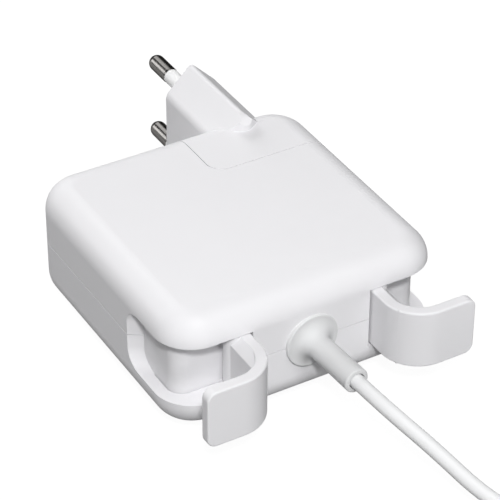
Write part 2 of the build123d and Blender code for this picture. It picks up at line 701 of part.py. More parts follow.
def input_capacitor():
    """High-voltage can lying along X."""
    return Pos(*INPUT_CAN_END) * Rot(0, 90, 0) * can_capacitor(INPUT_CAN_RADIUS, INPUT_CAN_LENGTH)


def output_capacitors():
    can = can_capacitor(OUTPUT_CAN_RADIUS, OUTPUT_CAN_LENGTH)
    return Compound([Pos(x, y, BOARD_HIGH) * can for x, y in OUTPUT_CAN_PLACES])


def filter_capacitor():
    return fillet(block(*FILTER_BOX).edges().filter_by(Axis.Z), FILTER_ROUND)


def safety_capacitor():
    """Disc capacitor standing on two wire legs."""
    x, y, z = DISC_CENTRE
    disc = fillet(rod(x, y, z, DISC_RADIUS, DISC_THICKNESS, (1, 0, 0)).edges(), DISC_ROUND)
    for side in (-1, 1):
        leg_y = y + side * DISC_LEG_SPREAD
        disc = disc + rod_z(x + DISC_THICKNESS / 2, leg_y, DISC_LEG_RADIUS, BOARD_HIGH, z - 2)
    return disc


def choke_core():
    ring = rod(*CHOKE_CENTRE, CHOKE_OUTER, CHOKE_WIDTH, (1, 0, 0))
    return ring - rod(*CHOKE_CENTRE, CHOKE_INNER, CHOKE_WIDTH, (1, 0, 0))


def choke_winding():
    """Two coils on opposite sides of the ring, touching it all round."""
    x, y, z = CHOKE_CENTRE
    x_low, x_high = x - CHOKE_WIRE, x + CHOKE_WIDTH + CHOKE_WIRE
    ring = rod(x_low, y, z, CHOKE_OUTER + CHOKE_WIRE, x_high - x_low, (1, 0, 0))
    ring = ring - rod(x_low, y, z, CHOKE_INNER - CHOKE_WIRE, x_high - x_low, (1, 0, 0))
    z_low, z_high = z - CHOKE_COIL_HALF, z + CHOKE_COIL_HALF
    gap = block(x_low, x_high, y - CHOKE_GAP_HALF, y + CHOKE_GAP_HALF, z_low - 5, z_high + 5)
    slab = block(x_low, x_high, y - 2 * CHOKE_OUTER, y + 2 * CHOKE_OUTER, z_low, z_high)
    return (ring & slab) - gap - choke_core()


def bridge_rectifier():
    """Flat moulded body standing on four legs in a row."""
    body = fillet(block(*BRIDGE_BOX).edges().filter_by(Axis.X), BRIDGE_ROUND)
    x = (BRIDGE_BOX[0] + BRIDGE_BOX[1]) / 2
    for y in BRIDGE_LEG_PLACES:
        body = body + rod_z(x, y, BRIDGE_LEG_RADIUS, BOARD_HIGH, BRIDGE_BOX[4])
    return body


def flat_transistor(box, leg_axis):
    """Moulded power device standing on three legs in a row along the given axis."""
    body = block(*box)
    centre = Vector((box[0] + box[1]) / 2, (box[2] + box[3]) / 2, 0)
    for count in (-1, 0, 1):
        place = centre + Vector(*leg_axis) * TRANSISTOR_LEG_PITCH * count
        body = body + rod_z(place.X, place.Y, TRANSISTOR_LEG_RADIUS, BOARD_HIGH, box[4])
    return body


def fuse():
    """Small tubular fuse with metal caps, lying along X."""
    x, y, z = FUSE_START
    fuse_body = rod(x, y, z, FUSE_RADIUS, FUSE_LENGTH, (1, 0, 0))
    for cap_x in (x, x + FUSE_LENGTH - FUSE_CAP_LENGTH):
        fuse_body = fuse_body + rod(cap_x, y, z, FUSE_CAP_RADIUS, FUSE_CAP_LENGTH, (1, 0, 0))
    return fuse_body


def input_leads():
    inlet_low = MID_Z - INLET_RECESS_RADIUS - INLET_TOP_WALL
    leads = [rod_z(x, INPUT_LEAD_Y, INPUT_LEAD_RADIUS, BOARD_HIGH, inlet_low) for x in CONTACT_PLACES]
    return Compound(leads)


def output_leads():
    """Two insulated wires that rise from the board and turn into the cable anchor."""
    leads = []
    for x in (-OUTPUT_LEAD_X, OUTPUT_LEAD_X):
        start = (x, OUTPUT_LEAD_Y, BOARD_HIGH)
        path = FilletPolyline(
            start, (x, OUTPUT_LEAD_Y, CABLE_Z), (x, ANCHOR_BACK_Y, CABLE_Z), radius=OUTPUT_LEAD_BEND)
        leads.append(sweep(Plane(start, z_dir=(0, 0, 1)) * Circle(OUTPUT_LEAD_RADIUS), path))
    return Compound(leads)


def cable_anchor():
    """Moulded collar on the cable, behind the front wall."""
    collar = block(
        -ANCHOR_HALF_WIDTH, ANCHOR_HALF_WIDTH, -HALF + WALL, ANCHOR_BACK_Y,
        CABLE_Z - ANCHOR_HALF_HEIGHT, CABLE_Z + ANCHOR_HALF_HEIGHT,
    )
    return fillet(collar.edges().filter_by(Axis.Y), ANCHOR_ROUND)


def strain_relief():
    """Flange on the front face with a bell-mouthed boot that leans slightly to the right."""
    front = -HALF
    neck = rod_y(0, CABLE_Z, FLANGE_NECK_RADIUS, front, front + WALL)
    hole = CABLE_RADIUS + BOOT_CABLE_GAP
    profile = make_face(Polyline(
        (0, -FLANGE_ROOT),
        (FLANGE_RADIUS, -FLANGE_ROOT),
        (FLANGE_RADIUS, FLANGE_THICKNESS),
        (BOOT_WAIST, FLANGE_THICKNESS),
        (BOOT_RIM, BOOT_LENGTH),
        (hole, BOOT_LENGTH),
        (hole, BOOT_LENGTH - BOOT_RECESS),
        (0, BOOT_LENGTH - BOOT_RECESS),
        close=True,
    ))
    rounds = (
        ((FLANGE_RADIUS, FLANGE_THICKNESS), FLANGE_ROUND),
        ((BOOT_WAIST, FLANGE_THICKNESS), BOOT_BELL),
        ((BOOT_RIM, BOOT_LENGTH), BOOT_NOSE),
    )
    for place, radius in rounds:
        profile = fillet(profile.vertices().sort_by_distance(place)[0], radius)
    boot = Pos(0, front, CABLE_Z) * Rot(0, 0, 180 + BOOT_LEAN) * revolve(profile, Axis.Y)
    outside = block(-HALF, HALF, front - 2 * BOOT_LENGTH, front, 0, CASE_HEIGHT)
    return neck + (boot & outside)


def corner_radii(points):
    """Largest tangent arc at each corner: 0.45 of the shorter run over tan of half the turn."""
    radii = []
    for before, here, after in zip(points, points[1:], points[2:]):
        into, out = Vector(*here) - Vector(*before), Vector(*after) - Vector(*here)
        turn = radians(into.get_angle(out))
        radii.append(0.45 * min(into.length, out.length) / tan(turn / 2))
    return radii


def cable_along(name, points):
    """Round cable along straight runs joined by tangent arcs."""
    radii = corner_radii(points)
    path = FilletPolyline(*points, radius=radii)
    section = Plane(path @ 0, z_dir=path % 0) * Circle(CABLE_RADIUS)
    cable = sweep(section, path)
    expected = section.area * path.length
    print(name, "radii", [round(r, 1) for r in radii], "length", round(path.length, 1),
          "volume ratio", round(cable.volume / expected, 4))
    return cable


def coil_section(grow):
    """Cross-section of the wound cable, grown by an even amount."""
    side = COIL_SECTION + 2 * grow
    centre = Pos(COIL_RADIUS, COIL_LOW + COIL_SECTION / 2)
    return Plane.XZ * centre * RectangleRounded(side, side, CABLE_RADIUS + grow)


def cable_coil():
    """Outer shape of the wound cable, resting on the tie."""
    return Pos(COIL_X, COIL_Y, 0) * revolve(coil_section(0), Axis.Z)


def cable_tie():
    """Thin strap round the coil's section at one place."""
    band = coil_section(TIE_THICKNESS) - coil_section(0)
    strap = revolve(band, Axis.Z, TIE_SPAN)
    return Pos(COIL_X, COIL_Y, 0) * Rot(0, 0, TIE_HEADING - TIE_SPAN / 2) * strap


def dc_plug_grip():
    """Moulded grip with a tapered tail, lying along +Y."""
    outline = Polyline(
        (0, 0),
        (GRIP_TAIL_RADIUS, 0),
        (GRIP_TAPER_RADIUS, GRIP_TAPER_LENGTH),
        (GRIP_RADIUS, GRIP_SHOULDER),
        (GRIP_RADIUS, GRIP_LENGTH - GRIP_CHAMFER),
        (GRIP_RADIUS - GRIP_CHAMFER, GRIP_LENGTH),
        (0, GRIP_LENGTH),
        close=True,
    )
    grip = revolve(make_face(outline), Axis.Y)
    return Pos(COIL_X + OUTER_TURN, GRIP_START_Y, STAND_Z + GRIP_RADIUS) * grip


def dc_tube(outer, inner, length):
    """A tube of the connector, standing out of the grip along +Y."""
    x, z, start = COIL_X + OUTER_TURN, STAND_Z + GRIP_RADIUS, GRIP_START_Y + GRIP_LENGTH
    return rod_y(x, z, outer, start, start + length) - rod_y(x, z, inner, start, start + length)


def case_parts():
    return {
        "bottom_shell": bottom_shell() + board_posts(),
        "top_shell": top_shell(),
        "right_hook": right_hook(),
        "left_hook": mirror(right_hook(), Plane.YZ),
        "right_hinge_pin": right_hinge_pin(),
        "left_hinge_pin": mirror(right_hinge_pin(), Plane.YZ),
        "inlet_block": inlet_block(),
        "inlet_pins": inlet_pins(),
        "retention_stud": retention_stud(),
        "strain_relief": strain_relief(),
    }


def duckhead_parts():
    return {
        "duckhead_shell": duckhead_shell(),
        "duckhead_cover": duckhead_cover(),
        "stud_rail": stud_rail(),
        "mains_pin_lower": mains_pin(PIN_HEIGHTS[0]),
        "mains_pin_upper": mains_pin(PIN_HEIGHTS[1]),
        "pin_sleeve_lower": pin_sleeve(PIN_HEIGHTS[0]),
        "pin_sleeve_upper": pin_sleeve(PIN_HEIGHTS[1]),
        "socket_contacts": socket_contacts(),
        "plug_links": Compound([plug_link(-1), plug_link(1)]),
    }


def electronic_parts():
    return {
        "circuit_board": circuit_board(),
        "board_insulator": board_insulator(),
        "transformer_core": transformer_core(),
        "transformer_bobbin": transformer_bobbin(),
        "transformer_winding": transformer_winding(),
        "input_capacitor": input_capacitor(),
        "output_capacitors": output_capacitors(),
        "filter_capacitor": filter_capacitor(),
        "safety_capacitor": safety_capacitor(),
        "choke_core": choke_core(),
        "choke_winding": choke_winding(),
        "bridge_rectifier": bridge_rectifier(),
        "switching_transistor": flat_transistor(TRANSISTOR_BOX, (0, 1, 0)),
        "primary_heat_spreader": block(*PRIMARY_SPREADER_BOX),
        "output_rectifier": flat_transistor(RECTIFIER_BOX, (1, 0, 0)),
        "output_heat_spreader": block(*OUTPUT_SPREADER_BOX),
        "fuse": fuse(),
        "input_leads": input_leads(),
        "output_leads": output_leads(),
        "cable_anchor": cable_anchor(),
    }


def cord_parts():
    set_back = BARREL_PLUG_LENGTH - BARREL_PLUG_SET_BACK
    return {
        "dc_cable": cable_along("lead", LEAD_ROUTE),
        "cable_tail": cable_along("tail", TAIL_ROUTE),
        "cable_coil": cable_coil(),
        "cable_tie": cable_tie(),
        "dc_plug_grip": dc_plug_grip(),
        "dc_plug_barrel": dc_tube(BARREL_PLUG_RADIUS, INSULATOR_RADIUS, BARREL_PLUG_LENGTH),
        "dc_plug_insulator": dc_tube(INSULATOR_RADIUS, CONTACT_TUBE_RADIUS, set_back),
        "dc_plug_contact": dc_tube(CONTACT_TUBE_RADIUS, BARREL_PLUG_BORE, set_back),
    }


def main():
    os.makedirs("parts", exist_ok=True)
    parts = case_parts() | duckhead_parts() | electronic_parts() | cord_parts()
    for name, shape in parts.items():
        export_step(shape, f"parts/{name}.step")


main()
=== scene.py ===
"""Looks of a laptop power adapter: satin white polycarbonate case and mains plug block, two
fold-out cable hooks, a soft white cable wound into a coil, and nickel-plated pins.

Metres, in the CAD model's frame: the origin is the centre of the case's bottom face, +Z is up
and +Y points from the cable side to the plug side.
"""
from math import cos, pi, radians, sin
import bpy
from mathutils import Matrix, Vector


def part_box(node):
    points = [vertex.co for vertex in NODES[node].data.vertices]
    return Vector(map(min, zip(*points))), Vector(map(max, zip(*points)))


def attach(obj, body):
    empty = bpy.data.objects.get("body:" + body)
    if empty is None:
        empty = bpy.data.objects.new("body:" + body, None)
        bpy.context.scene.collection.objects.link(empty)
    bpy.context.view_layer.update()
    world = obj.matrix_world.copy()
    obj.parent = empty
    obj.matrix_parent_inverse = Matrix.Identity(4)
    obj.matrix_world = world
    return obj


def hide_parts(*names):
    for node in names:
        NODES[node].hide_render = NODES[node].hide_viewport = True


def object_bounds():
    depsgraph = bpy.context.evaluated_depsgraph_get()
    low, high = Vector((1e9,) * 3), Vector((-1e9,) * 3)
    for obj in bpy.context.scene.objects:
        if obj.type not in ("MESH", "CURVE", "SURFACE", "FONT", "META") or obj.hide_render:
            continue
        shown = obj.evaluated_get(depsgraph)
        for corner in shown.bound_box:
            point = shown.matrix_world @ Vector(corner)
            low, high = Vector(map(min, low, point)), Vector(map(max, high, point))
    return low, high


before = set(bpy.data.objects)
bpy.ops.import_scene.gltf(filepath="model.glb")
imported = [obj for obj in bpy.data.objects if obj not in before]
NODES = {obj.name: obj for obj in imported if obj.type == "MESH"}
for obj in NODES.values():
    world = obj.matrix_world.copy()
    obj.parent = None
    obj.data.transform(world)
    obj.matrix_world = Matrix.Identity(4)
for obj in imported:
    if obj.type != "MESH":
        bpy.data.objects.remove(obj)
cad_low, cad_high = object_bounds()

MM = 0.001

# ------------------------------------------------------------------ camera
# Where the camera stands: round, above, tilted, how far off, and how far to the right and up
VIEW_AZIMUTH = radians(-30.29)
VIEW_ELEVATION = radians(36.04)
VIEW_ROLL = radians(0.29)
VIEW_DISTANCE = 524.9 * MM
VIEW_RIGHT = 3.53 * MM
VIEW_UP = 2.32 * MM
SENSOR = 36.0
LENS = 171.3
NEAREST = 10 * MM


def make_camera():
    """A long lens aimed close to the middle of the case."""
    low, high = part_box("top_shell")
    bottom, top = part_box("bottom_shell")[0].z, high.z
    target = Vector(((low.x + high.x) / 2, (low.y + high.y) / 2, (bottom + top) / 2))
    back = Vector((
        sin(VIEW_AZIMUTH) * cos(VIEW_ELEVATION),
        -cos(VIEW_AZIMUTH) * cos(VIEW_ELEVATION),
        sin(VIEW_ELEVATION),
    ))
    right = Vector((cos(VIEW_AZIMUTH), sin(VIEW_AZIMUTH), 0))
    up = back.cross(right)
    eye = target + back * VIEW_DISTANCE + right * VIEW_RIGHT + up * VIEW_UP
    rolled_right = right * cos(VIEW_ROLL) + up * sin(VIEW_ROLL)
    rolled_up = up * cos(VIEW_ROLL) - right * sin(VIEW_ROLL)
    data = bpy.data.cameras.new("camera")
    data.sensor_width = SENSOR
    data.lens = LENS
    data.clip_start = NEAREST
    camera = bpy.data.objects.new("camera", data)
    bpy.context.scene.collection.objects.link(camera)
    axes = Matrix((rolled_right, rolled_up, back)).transposed().to_4x4()
    camera.matrix_world = Matrix.Translation(eye) @ axes
    bpy.context.scene.camera = camera


make_camera()

# ------------------------------------------------------------------ cord
CABLE_RADIUS = 1.65 * MM
CABLE_STEP = 2 * CABLE_RADIUS
STAND_Z = cad_low.z
COIL_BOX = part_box("cable_coil")
COIL_CENTRE = (COIL_BOX[0] + COIL_BOX[1]) / 2
COIL_LAYERS = 4
OUTER_TURN = (COIL_BOX[1].x - COIL_BOX[0].x) / 2 - CABLE_RADIUS
BOTTOM_TURN_Z = COIL_BOX[0].z + CABLE_RADIUS
TOP_TURN_Z = COIL_BOX[1].z - CABLE_RADIUS
GRIP_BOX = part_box("dc_plug_grip")
GRIP_Z = (GRIP_BOX[0].z + GRIP_BOX[1].z) / 2
TAIL_X = COIL_CENTRE.x + OUTER_TURN

# Listed points of the route, the same as the CAD model's
LEAD_ROUTE = [
    (0.00082, -0.04858, 0.0146),
    (0.0017, -0.0595, 0.0141),
    (0.0064, -0.0700, 0.0094),
    (0.0120, -0.0820, 0.0024),
    (0.0200, -0.0915, STAND_Z + CABLE_RADIUS),
    (0.0285, -0.0987, BOTTOM_TURN_Z),
]
TAIL_ROUTE = [
    (TAIL_X, -0.0860, TOP_TURN_Z),
    (TAIL_X, -0.0765, TOP_TURN_Z),
    (TAIL_X, -0.0620, GRIP_Z),
    (TAIL_X, GRIP_BOX[0].y, GRIP_Z),
]
POINTS_PER_TURN = 16
# Angles round the coil, in degrees
COIL_START = 225.0
COIL_END = 15 * 360.0
FIRST_CROSSING = 400.0
CROSSING_SETBACK = 30.0
CROSSING_WIDTH = 28.0


def coil_cells():
    """Ring and layer of each turn, from the outermost ring of the bottom layer up to the top one,
    with the angle at which the cable crosses into it. Layers run inwards and outwards in turn, and
    each change of direction comes a little earlier round the coil, so that no turns meet."""
    cells = []
    angle = FIRST_CROSSING - 360
    for layer in range(COIL_LAYERS):
        rings = range(COIL_LAYERS) if layer % 2 == 0 else reversed(range(COIL_LAYERS))
        for place, ring in enumerate(rings):
            cells.append((angle, ring, layer))
            angle += 360
            if place == COIL_LAYERS - 1 or (place == 0 and layer > 0):
                angle -= CROSSING_SETBACK
    return cells


def coil_point(angle, cells):
    """Point of the coil at an angle in degrees, counted on through all the turns."""
    ring, layer = cells[0][1:]
    for (start, next_ring, next_layer) in cells[1:]:
        share = min(max((angle - start) / CROSSING_WIDTH + 0.5, 0), 1)
        share = share * share * (3 - 2 * share)
        ring += (next_ring - ring) * share
        layer += (next_layer - layer) * share
    radius = (OUTER_TURN - ring * CABLE_STEP) / cos(pi / POINTS_PER_TURN)
    turn = radians(angle)
    return (
        COIL_CENTRE.x + radius * cos(turn),
        COIL_CENTRE.y + radius * sin(turn),
        BOTTOM_TURN_Z + layer * CABLE_STEP,
    )


def coil_route():
    cells = coil_cells()
    step = 360 / POINTS_PER_TURN
    count = round((COIL_END - COIL_START) / step)
    return [coil_point(COIL_START + step * number, cells) for number in range(count)]


def make_cord():
    """The whole cable, from the strain relief through the coil to the connector."""
    points = LEAD_ROUTE + coil_route() + TAIL_ROUTE
    curve = bpy.data.curves.new("dc_cord", "CURVE")
    curve.dimensions = "3D"
    spline = curve.splines.new("NURBS")
    spline.points.add(len(points) - 1)
    for point, place in zip(spline.points, points):
        point.co = (*place, 1)
        point.radius = CABLE_RADIUS
    spline.order_u = 3
    spline.use_endpoint_u = True
    spline.resolution_u = 8
    curve.bevel_depth = 1
    curve.bevel_resolution = 6
    cord = bpy.data.objects.new("dc_cord", curve)
    bpy.context.scene.collection.objects.link(cord)
    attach(cord, "case")
    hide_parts("dc_cable", "cable_coil", "cable_tail")
    return cord


cord = make_cord()

# ------------------------------------------------------------------ stage
WORLD_STRENGTH = 0.02
# The floor's own light and the grey it adds to it for the camera, and the grey that the object sees
FLOOR_GLOW = 0.95
FLOOR_GREY = 0.1
FLOOR_BOUNCE = 0.32
FLOOR_SIZE = 8

# Each light: name, direction from the object, width, height, power, whether it shows in reflections
LIGHTS = [
    ("overhead", (0, -0.4, 0.92), 0.6, 0.6, 2.7, True),
    ("key", (-0.34, -0.64, 0.76), 0.1, 0.1, 6.4, False),
    ("high front", (0.05, -1, 0.45), 0.14, 0.14, 1.1, False),
    ("back", (0, 1, 0.3), 0.6, 0.6, 7.0, False),
    ("streak", (-0.61, 0.7, 0.38), 0.38, 0.42, 0.85, True),
    ("upper streak", (0.1, 0.7, 0.66), 0.5, 0.5, 0.6, True),
]
LIGHT_DISTANCE = 1.0


def make_world():
    world = bpy.data.worlds.new("studio")
    world.use_nodes = True
    background = world.node_tree.nodes["Background"]
    background.inputs["Color"].default_value = (1, 1, 1, 1)
    background.inputs["Strength"].default_value = WORLD_STRENGTH
    bpy.context.scene.world = world


def make_light(name, direction, width, height, power, reflected):
    """A soft box at a fixed distance, facing the object."""
    data = bpy.data.lights.new(name, "AREA")
    data.shape = "RECTANGLE"
    data.size = width
    data.size_y = height
    data.energy = power
    light = bpy.data.objects.new(name, data)
    bpy.context.scene.collection.objects.link(light)
    place = Vector(direction).normalized() * LIGHT_DISTANCE
    light.rotation_euler = (-place).to_track_quat("-Z", "Y").to_euler()
    light.location = place
    light.visible_glossy = reflected


def make_floor():
    """A white sweep: it looks evenly bright, with a faint soft shadow, and lights the object
    from below only a little."""
    bpy.ops.mesh.primitive_plane_add(size=FLOOR_SIZE, location=(0, 0, STAND_Z))
    floor = bpy.context.object
    floor.name = "floor"
    material = bpy.data.materials.new("floor")
    material.use_nodes = True
    nodes, links = material.node_tree.nodes, material.node_tree.links
    nodes.remove(nodes["Principled BSDF"])
    seen = nodes.new("ShaderNodeLightPath")
    glow = nodes.new("ShaderNodeEmission")
    glow.inputs["Strength"].default_value = FLOOR_GLOW
    lit = nodes.new("ShaderNodeBsdfDiffuse")
    lit.inputs["Color"].default_value = (FLOOR_GREY,) * 3 + (1,)
    both = nodes.new("ShaderNodeAddShader")
    bounce = nodes.new("ShaderNodeBsdfDiffuse")
    bounce.inputs["Color"].default_value = (FLOOR_BOUNCE,) * 3 + (1,)
    mix = nodes.new("ShaderNodeMixShader")
    links.new(glow.outputs[0], both.inputs[0])
    links.new(lit.outputs[0], both.inputs[1])
    links.new(seen.outputs["Is Camera Ray"], mix.inputs["Fac"])
    links.new(bounce.outputs[0], mix.inputs[1])
    links.new(both.outputs[0], mix.inputs[2])
    links.new(mix.outputs[0], nodes["Material Output"].inputs["Surface"])
    floor.data.materials.append(material)


bpy.context.scene.view_settings.view_transform = "Standard"
make_world()
make_floor()
for light in LIGHTS:
    make_light(*light)

# ------------------------------------------------------------------ materials
MICRON = 1e-6
# Noise rarely leaves this part of its range
NOISE_LOW, NOISE_HIGH = 0.3, 0.7
# A wave texture makes this many bands per unit at scale 1
WAVE_BANDS = 10 / pi

# Cells per metre of the slow changes of shade and of gloss
CLOUD_CELLS = 60
PATCH_CELLS = 240
TARNISH_CELLS = (180, 90, 180)
# Cells per metre of the streaks in metal: drawn along Y, rolled into plate, drawn along Z
DRAWN_Y = (3500, 60, 3500)
ROLLED = (200, 200, 5000)
DRAWN_Z = (4000, 4000, 400)
# Shares of a metal's own colour and roughness: darkest tarnish, smoothest and roughest streaks
TARNISH, SMOOTHEST, ROUGHEST = 0.86, 0.8, 1.25
# The same for metal that shows past the edge of a moulding
EDGE_TARNISH, EDGE_ROUGHEST = 0.85, 1.3

WHITE = (0.872, 0.867, 0.886)
RUBBER = (0.76, 0.765, 0.77)
CABLE_WHITE = (0.89, 0.895, 0.9)
SLEEVE_WHITE = (0.96, 0.96, 0.96)
NICKEL = (0.62, 0.6, 0.58)
BRASS = (0.78, 0.6, 0.32)
STEEL = (0.56, 0.56, 0.55)
ALUMINIUM = (0.8, 0.8, 0.79)
TINNED = (0.72, 0.72, 0.7)
BLACK = (0.025, 0.025, 0.027)
# Painted dark reflection: the plated metal's tint at grazing angles, darkened to stand in for the dark
# surroundings it reflects
PAINTED_DARK_RIM = (0.12, 0.12, 0.12, 1)


def even(cells):
    """The same number of cells per metre along all three axes."""
    return (cells, cells, cells)


def new_material(name, **uniform):
    """A principled material; its uniform values are set on the shader's own sockets."""
    material = bpy.data.materials.new(name)
    material.use_nodes = True
    tree = material.node_tree
    shader = tree.nodes["Principled BSDF"]
    for socket, value in uniform.items():
        shader.inputs[socket.replace("_", " ")].default_value = value
    return material, tree, shader


def stretched(tree, scales):
    """The piece's own coordinates, scaled separately along X, Y and Z."""
    place = tree.nodes.new("ShaderNodeTexCoord")
    mapping = tree.nodes.new("ShaderNodeMapping")
    mapping.inputs["Scale"].default_value = scales
    tree.links.new(place.outputs["Object"], mapping.inputs["Vector"])
    return mapping.outputs["Vector"]


def noise(tree, scales, detail=2.0):
    """Noise with about the given number of cells per metre along each axis."""
    texture = tree.nodes.new("ShaderNodeTexNoise")
    texture.inputs["Scale"].default_value = 1.0
    texture.inputs["Detail"].default_value = detail
    tree.links.new(stretched(tree, scales), texture.inputs["Vector"])
    return texture.outputs["Fac"]


def bands(tree, scales, axis, profile="SIN"):
    """Even bands across an axis, with one band per unit of the scaled coordinate, or across the
    diagonal, where they are wider."""
    texture = tree.nodes.new("ShaderNodeTexWave")
    texture.bands_direction = axis
    texture.wave_profile = profile
    texture.inputs["Scale"].default_value = 1 / WAVE_BANDS
    tree.links.new(stretched(tree, scales), texture.inputs["Vector"])
    return texture.outputs["Fac"]


def spread(tree, value, low, high, start=NOISE_LOW, end=NOISE_HIGH):
    """Stretch a texture's value onto the range from low to high."""
    ranged = tree.nodes.new("ShaderNodeMapRange")
    for socket, number in (("From Min", start), ("From Max", end), ("To Min", low), ("To Max", high)):
        ranged.inputs[socket].default_value = number
    tree.links.new(value, ranged.inputs["Value"])
    return ranged.outputs["Result"]


def shades(tree, value, first, second, start=NOISE_LOW, end=NOISE_HIGH):
    """Blend from one colour to another as a texture's value goes from start to end."""
    ramp = tree.nodes.new("ShaderNodeValToRGB")
    low, high = ramp.color_ramp.elements
    low.position, low.color = start, (*first, 1)
    high.position, high.color = end, (*second, 1)
    tree.links.new(value, ramp.inputs["Fac"])
    return ramp.outputs["Color"]


def relief(tree, shader, height, depth):
    """Raise the surface by a texture times a depth in metres, on top of any earlier relief."""
    bump = tree.nodes.new("ShaderNodeBump")
    bump.inputs["Distance"].default_value = depth
    tree.links.new(height, bump.inputs["Height"])
    normal = shader.inputs["Normal"]
    if normal.is_linked:
        tree.links.new(normal.links[0].from_socket, bump.inputs["Normal"])
    tree.links.new(bump.outputs["Normal"], normal)


def tinted(colour, factor):
    return tuple(channel * factor for channel in colour)


def calculated(tree, value, *steps):
    """A value taken through maths steps, each an operation with its second number, or with 0 if
    it has none."""
    for operation, number in steps:
        step = tree.nodes.new("ShaderNodeMath")
        step.operation = operation
        step.inputs[1].default_value = number
        tree.links.new(value, step.inputs[0])
        value = step.outputs["Value"]
    return value


def combined(tree, operation, first, second):
    """Two values joined by one maths operation."""
    step = tree.nodes.new("ShaderNodeMath")
    step.operation = operation
    tree.links.new(first, step.inputs[0])
    tree.links.new(second, step.inputs[1])
    return step.outputs["Value"]


def along(tree, axis):
    """The piece's own coordinate along one axis, in metres."""
    place = tree.nodes.new("ShaderNodeTexCoord")
    split = tree.nodes.new("ShaderNodeSeparateXYZ")
    tree.links.new(place.outputs["Object"], split.inputs["Vector"])
    return split.outputs[axis]


def beyond(tree, axis, level):
    """1 where the piece is past a level along an axis, otherwise 0."""
    return calculated(tree, along(tree, axis), ("GREATER_THAN", level))


def both_ends(tree, axis, middle, reach):
    """1 where the piece is further than a reach from its middle along an axis, otherwise 0."""
    steps = ("SUBTRACT", middle), ("ABSOLUTE", 0), ("GREATER_THAN", reach)
    return calculated(tree, along(tree, axis), *steps)


def round_the_ring(tree, centre, count):
    """Bands that fan out round an axis along X, so many in a full turn."""
    height = calculated(tree, along(tree, "Z"), ("SUBTRACT", centre.z))
    depth = calculated(tree, along(tree, "Y"), ("SUBTRACT", centre.y))
    angle = combined(tree, "ARCTAN2", height, depth)
    wave = calculated(tree, angle, ("MULTIPLY", count), ("SINE", 0))
    return spread(tree, wave, 0, 1, -1, 1)


def mixed(tree, mask, first, second):
    """One input where the mask is 0 and the other where it is 1; for colours or plain values."""
    mix = tree.nodes.new("ShaderNodeMix")
    mix.data_type = "RGBA" if first.type == "RGBA" else "FLOAT"
    factor = next(socket for socket in mix.inputs if socket.name == "Factor" and socket.enabled)
    ends = [socket for socket in mix.inputs if socket.name in "AB" and socket.enabled]
    tree.links.new(mask, factor)
    tree.links.new(first, ends[0])
    tree.links.new(second, ends[1])
    return next(socket for socket in mix.outputs if socket.enabled)


def cover(tree, shader, mask, colour, roughness):
    """Put another colour and roughness on a shader where the mask is 1."""
    for socket, new in (("Base Color", colour), ("Roughness", roughness)):
        old = shader.inputs[socket].links[0].from_socket
        tree.links.new(mixed(tree, mask, old, new), shader.inputs[socket])


def moulded(name, colour, roughness, grain, depth, shade=0.97, gloss_change=0.05):
    """Moulded surface: fine grain of so many cells per metre, slight clouds of shade, and a
    roughness that wanders with handling."""
    material, tree, shader = new_material(name)
    clouds = noise(tree, even(CLOUD_CELLS), detail=4.0)
    tree.links.new(shades(tree, clouds, tinted(colour, shade), colour), shader.inputs["Base Color"])
    patches = noise(tree, even(PATCH_CELLS), detail=5.0)
    gloss = spread(tree, patches, roughness - gloss_change, roughness + gloss_change)
    tree.links.new(gloss, shader.inputs["Roughness"])
    relief(tree, shader, noise(tree, even(grain)), depth)
    return material, tree, shader


def drawn_metal(name, colour, roughness, scales, depth, **uniform):
    """Metal with fine streaks, which run along the axis with the smallest scale, and tarnish."""
    material, tree, shader = new_material(name, Metallic=1.0, **uniform)
    streaks = noise(tree, scales, detail=3.0)
    clouds = noise(tree, TARNISH_CELLS, detail=4.0)
    tree.links.new(shades(tree, clouds, tinted(colour, TARNISH), colour), shader.inputs["Base Color"])
    gloss = spread(tree, streaks, roughness * SMOOTHEST, roughness * ROUGHEST)
    tree.links.new(gloss, shader.inputs["Roughness"])
    relief(tree, shader, streaks, depth)
    return material, tree, shader


def metal_where(mask, moulding, colour, roughness):
    """Turn the masked part of a moulded piece into bare metal."""
    material, tree, shader = moulding
    streaks = noise(tree, DRAWN_Z, detail=3.0)
    metal_colour = shades(tree, streaks, tinted(colour, EDGE_TARNISH), colour)
    metal_gloss = spread(tree, streaks, roughness * SMOOTHEST, roughness * EDGE_ROUGHEST)
    cover(tree, shader, mask, metal_colour, metal_gloss)
    tree.links.new(mask, shader.inputs["Metallic"])
    return material


def paint(material, *names):
    for name in names:
        for slot in NODES[name].material_slots:
            slot.material = material


# ------------------------------------------------------------------ white plastics
# Hairline scuffs: cells per metre, and the part of the noise that counts as a scuff
SCUFF_CELLS = (300, 5200, 2600)
SCUFF_LOW, SCUFF_HIGH = 0.62, 0.75


def white_plastic(name):
    """Satin moulding with the faintest spark texture, handling haze and hairline scuffs."""
    material, tree, shader = moulded(
        name, WHITE, roughness=0.38, grain=9000, depth=1.2 * MICRON, shade=0.985, gloss_change=0.04)
    scuffs = spread(tree, noise(tree, SCUFF_CELLS, detail=6.0), 0, 1, SCUFF_LOW, SCUFF_HIGH)
    relief(tree, shader, scuffs, 0.8 * MICRON)
    return material


paint(white_plastic("case_plastic"), "bottom_shell", "top_shell")
paint(white_plastic("hook_plastic"), "left_hook", "right_hook")
paint(white_plastic("duckhead_plastic"), "duckhead_shell", "duckhead_cover")

# ------------------------------------------------------------------ cable and what is on it
GRIP_RIBS = 900
GRIP_RIB_DEPTH = 60 * MICRON
JACKET_WAVES = 500
JACKET_WAVE_DEPTH = 6 * MICRON
# Scales of the strap's two sets of threads, which cross each other
SLANTED_THREADS = 1600
LEVEL_THREADS = 1900
THREAD_DEPTH = 120 * MICRON
FIBRE_CELLS = 9000
FIBRE_DEPTH = 30 * MICRON
STRAP_DARK, STRAP_PALE = (0.5, 0.505, 0.51), (0.84, 0.845, 0.85)


